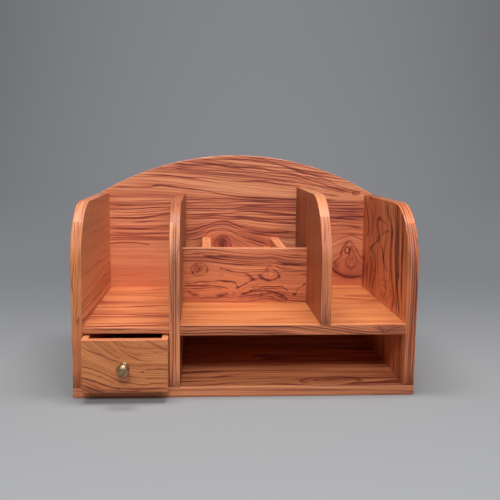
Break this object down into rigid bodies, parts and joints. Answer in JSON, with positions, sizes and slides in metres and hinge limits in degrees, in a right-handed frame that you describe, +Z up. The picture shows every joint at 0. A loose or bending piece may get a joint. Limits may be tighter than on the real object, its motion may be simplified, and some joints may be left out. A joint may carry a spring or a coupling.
{
  "type": "desk organizer",
  "caption": "Wooden desk organizer with an arched back, rounded uprights, open compartments over a pigeonhole, rear pockets and a small drawer with a brass knob.",
  "frame": {"origin": "under the middle of the carcass's footprint, on the surface it stands on", "axes": "+X to the right seen from the front, +Y to the back, +Z up; the drawer pulls out along -Y"},
  "size_m": [0.325, 0.2375, 0.227],
  "materials": {
    "rosewood": "satin, reddish brown with dark figure",
    "drawer_rosewood": "satin, a little lighter and browner than the carcass",
    "aged_brass": "polished, slightly aged",
    "screw_steel": "zinc plated"
  },
  "bodies": {
    "carcass": {"base_board": "rosewood", "left_side": "rosewood", "right_side": "rosewood", "tall_divider": "rosewood", "short_divider": "rosewood", "left_shelf": "rosewood", "right_shelf": "rosewood", "pocket_front": "rosewood", "pocket_divider_left": "rosewood", "pocket_divider_right": "rosewood", "back_panel": "rosewood", "base_screws": "screw_steel", "back_screws": "screw_steel"},
    "drawer": {"drawer_front": "drawer_rosewood", "drawer_side_left": "drawer_rosewood", "drawer_side_right": "drawer_rosewood", "drawer_back": "drawer_rosewood", "drawer_bottom": "drawer_rosewood", "drawer_knob": "aged_brass", "knob_washer": "aged_brass", "knob_screw": "screw_steel"}
  },
  "joints": [
    {"name": "drawer_slide", "type": "slide", "parent": "carcass", "child": "drawer", "axis": [0, -1, 0], "range_m": [-0.015, 0.135]}
  ]
}
